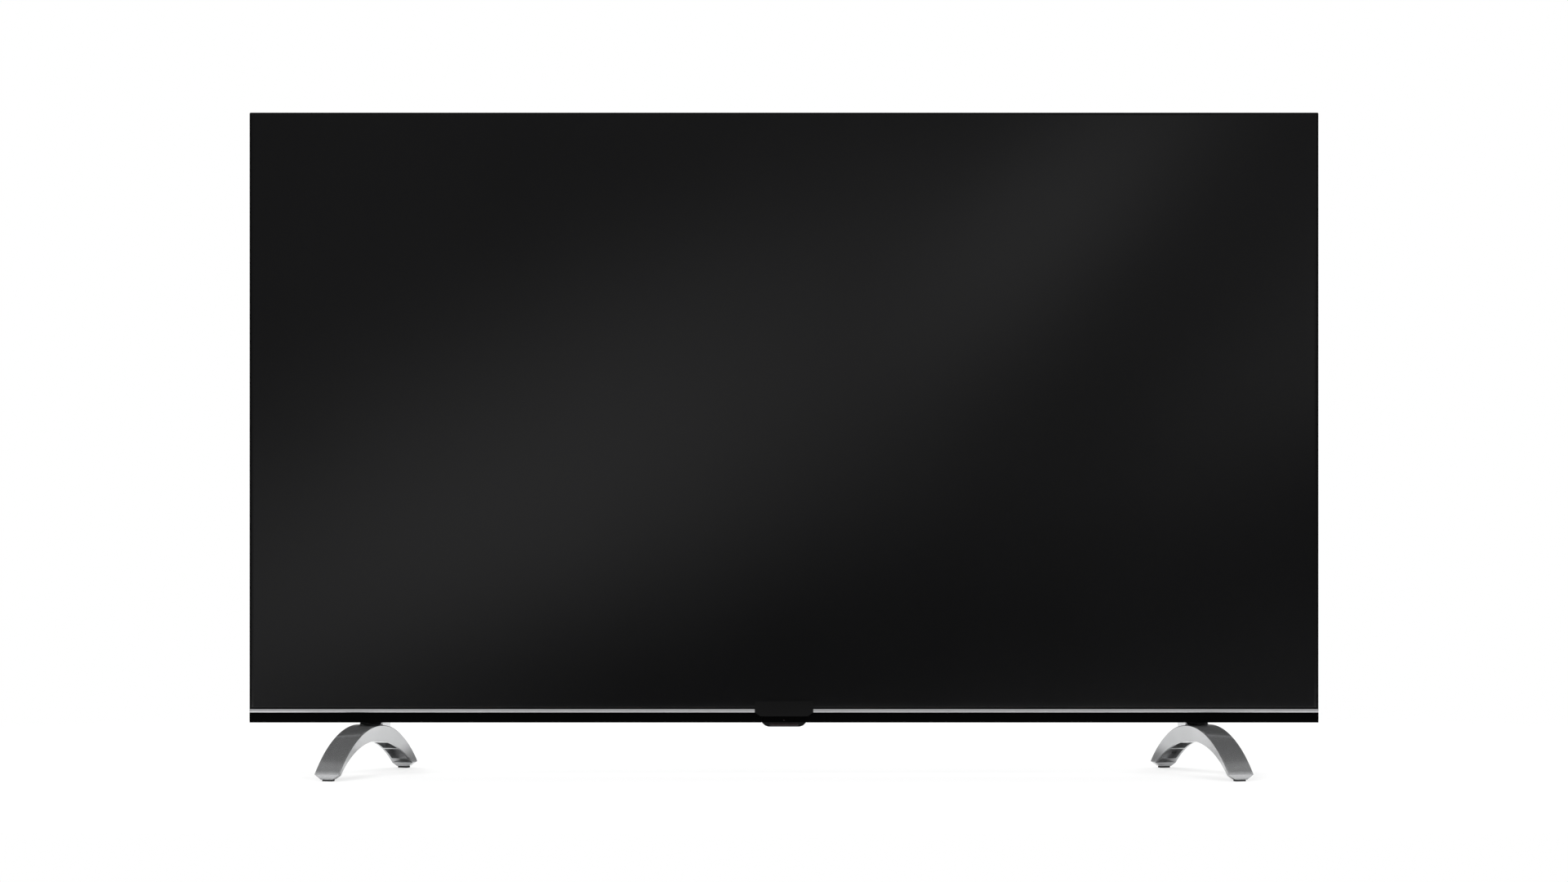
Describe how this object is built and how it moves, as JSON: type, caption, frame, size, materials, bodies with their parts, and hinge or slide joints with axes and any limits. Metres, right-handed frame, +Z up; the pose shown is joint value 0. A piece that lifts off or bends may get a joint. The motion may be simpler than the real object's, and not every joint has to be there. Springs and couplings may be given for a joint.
{
  "type": "flat screen television",
  "caption": "Flat-screen television with a dark glossy screen, thin black frame, silver lower trim and splayed arched silver feet; direct-lit panel, rear sockets and control stick.",
  "frame": {"origin": "on the floor, midway between the feet and midway along them", "axes": "+X to the viewer's right when facing the screen, +Y away from the viewer, +Z up"},
  "size_m": [1.232, 0.2382, 0.764],
  "materials": {
    "frame_black": "fine satin black",
    "screen": "dark polariser with a soft anti-reflection haze",
    "foam_black": "closed-cell foam tape",
    "film_white": "milky white sheet",
    "board_white": "white solder mask",
    "lens_clear": "clear moulded lens",
    "steel_back": "black pre-coated sheet steel",
    "board_green": "green solder mask",
    "film_amber": "amber flexible film",
    "bar_black": "polished black",
    "trim_silver": "fine brushed, clear coated",
    "window_red": "dark infrared-passing acrylic",
    "rear_black": "spark-eroded texture",
    "screw_dark": "black zinc",
    "sink_grey": "extruded, plain",
    "socket_metal": "tin-plated shell",
    "socket_black": "moulded black",
    "part_brown": "wound and cased component",
    "pin_metal": "nickel-plated brass",
    "standoff_brass": "turned brass",
    "screw_bright": "bright zinc",
    "boss_steel": "zinc-plated steel",
    "ribbon_white": "white cable",
    "lead_red": "red and black twisted lead",
    "magnet_dark": "ferrite with a plated yoke",
    "cone_grey": "coated paper",
    "pad_rubber": "matt black rubber",
    "foot_silver": "satin silver lacquer",
    "stick_black": "soft satin black"
  },
  "bodies": {
    "cabinet": {"mid_frame": "frame_black", "lcd_panel": "screen", "panel_tape": "foam_black", "prism_film": "film_white", "spread_film": "film_white", "diffuser_plate": "film_white", "reflector_sheet": "film_white", "lamp_strips": "board_white", "lamp_lenses": "lens_clear", "diffuser_posts": "film_white", "back_tray": "steel_back", "source_boards": "board_green", "driver_films": "film_amber", "bottom_bar": "bar_black", "left_trim": "trim_silver", "right_trim": "trim_silver", "sensor_housing": "bar_black", "infrared_window": "window_red", "standby_light": "lens_clear", "sensor_board": "board_green", "rear_cover": "rear_black", "cover_screws": "screw_dark", "terminal_plate": "frame_black", "main_board": "board_green", "heat_sink": "sink_grey", "hdmi_sockets": "socket_metal", "usb_sockets": "socket_metal", "card_slot": "socket_black", "lan_socket": "socket_metal", "aerial_sockets": "socket_metal", "headphone_jack": "socket_black", "power_board": "board_green", "transformers": "part_brown", "capacitors": "part_brown", "power_heat_sinks": "sink_grey", "mains_inlet": "socket_black", "inlet_pins": "pin_metal", "board_standoffs": "standoff_brass", "board_screws": "screw_bright", "wall_mount_bosses": "boss_steel", "panel_ribbon": "ribbon_white", "lamp_harness": "ribbon_white", "speaker_leads": "lead_red", "speaker_boxes": "rear_black", "speaker_frames": "sink_grey", "speaker_magnets": "magnet_dark", "left_foot": "foot_silver", "right_foot": "foot_silver", "foot_pads": "pad_rubber", "foot_brackets": "boss_steel", "foot_screws": "screw_dark", "key_board": "board_green", "stick_switch": "socket_black"},
    "plunger": {"stick_plunger": "film_white"},
    "gimbal": {"stick_gimbal": "socket_metal"},
    "stick": {"control_stick": "stick_black"},
    "left_speaker_cone": {"left_cone": "cone_grey", "left_surround": "pad_rubber"},
    "right_speaker_cone": {"right_cone": "cone_grey", "right_surround": "pad_rubber"}
  },
  "joints": [
    {"name": "stick_press", "type": "slide", "parent": "cabinet", "child": "plunger", "axis": [0, -1, 0], "range_m": [0, 0.0008], "stiffness_N_per_m": 2500},
    {"name": "stick_up_down", "type": "hinge", "parent": "plunger", "child": "gimbal", "pos_m": [0.53, 0.03161, 0.127], "axis": [1, 0, 0], "range_deg": [-8, 8], "stiffness_Nm_per_rad": 0.09},
    {"name": "stick_left_right", "type": "hinge", "parent": "gimbal", "child": "stick", "pos_m": [0.53, 0.03161, 0.127], "axis": [0, 0, 1], "range_deg": [-8, 8], "stiffness_Nm_per_rad": 0.09},
    {"name": "left_cone_stroke", "type": "slide", "parent": "cabinet", "child": "left_speaker_cone", "axis": [0, 0, 1], "range_m": [-0.0015, 0.0015], "stiffness_N_per_m": 1500},
    {"name": "right_cone_stroke", "type": "slide", "parent": "cabinet", "child": "right_speaker_cone", "axis": [0, 0, 1], "range_m": [-0.0015, 0.0015], "stiffness_N_per_m": 1500}
  ]
}
